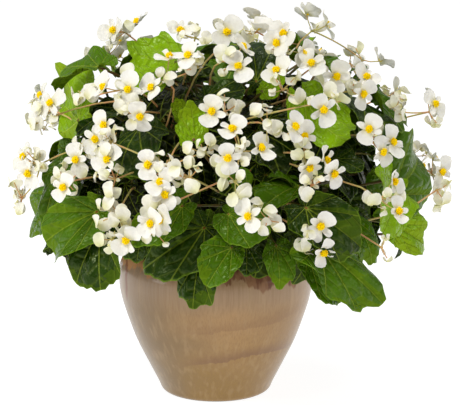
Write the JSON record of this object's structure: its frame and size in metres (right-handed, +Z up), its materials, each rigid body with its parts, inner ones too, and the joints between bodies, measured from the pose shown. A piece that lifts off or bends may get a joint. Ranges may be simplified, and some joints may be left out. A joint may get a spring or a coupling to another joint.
{
  "type": "potted begonia",
  "caption": "White-flowered begonia with heart-shaped green leaves, in a round glazed pot that tapers to a flat base.",
  "frame": {"origin": "centre of the pot's flat base, where it stands", "axes": "+Z up out of the pot, -Y towards the side that the picture shows, +X to that view's right"},
  "size_m": [0.5329, 0.5683, 0.4861],
  "materials": {
    "glaze": "glossy tan glaze, streaked",
    "soil": "matte, crumbly",
    "foliage": "satin, slightly glossy leaf",
    "bloom": "soft white petal"
  },
  "bodies": {
    "root": {"pot": "glaze", "soil": "soil", "leafy_stem_01": "foliage", "leafy_stem_02": "foliage", "leafy_stem_03": "foliage", "leafy_stem_04": "foliage", "leafy_stem_05": "foliage", "leafy_stem_06": "foliage", "leafy_stem_07": "foliage", "leafy_stem_08": "foliage", "leafy_stem_09": "foliage", "leafy_stem_10": "foliage", "flower_spray_01": "bloom", "flower_spray_02": "bloom", "flower_spray_03": "bloom", "flower_spray_04": "bloom", "flower_spray_05": "bloom", "flower_spray_06": "bloom", "flower_spray_07": "bloom", "flower_spray_08": "bloom", "flower_spray_09": "bloom", "flower_spray_10": "bloom", "flower_spray_11": "bloom", "flower_spray_12": "bloom", "flower_spray_13": "bloom", "flower_spray_14": "bloom", "flower_spray_15": "bloom", "flower_spray_16": "bloom", "flower_spray_17": "bloom", "flower_spray_18": "bloom", "flower_spray_19": "bloom", "flower_spray_20": "bloom", "flower_spray_21": "bloom", "flower_spray_22": "bloom", "flower_spray_23": "bloom", "flower_spray_24": "bloom", "flower_spray_25": "bloom", "flower_spray_26": "bloom", "flower_spray_27": "bloom", "flower_spray_28": "bloom", "flower_spray_29": "bloom", "flower_spray_30": "bloom", "flower_spray_31": "bloom", "flower_spray_32": "bloom", "flower_spray_33": "bloom", "flower_spray_34": "bloom", "flower_spray_35": "bloom", "flower_spray_36": "bloom", "flower_spray_37": "bloom", "flower_spray_38": "bloom", "flower_spray_39": "bloom", "flower_spray_40": "bloom", "flower_spray_41": "bloom", "flower_spray_42": "bloom", "flower_spray_43": "bloom", "flower_spray_44": "bloom", "flower_spray_45": "bloom", "flower_spray_46": "bloom", "flower_spray_47": "bloom", "flower_spray_48": "bloom"}
  },
  "joints": []
}
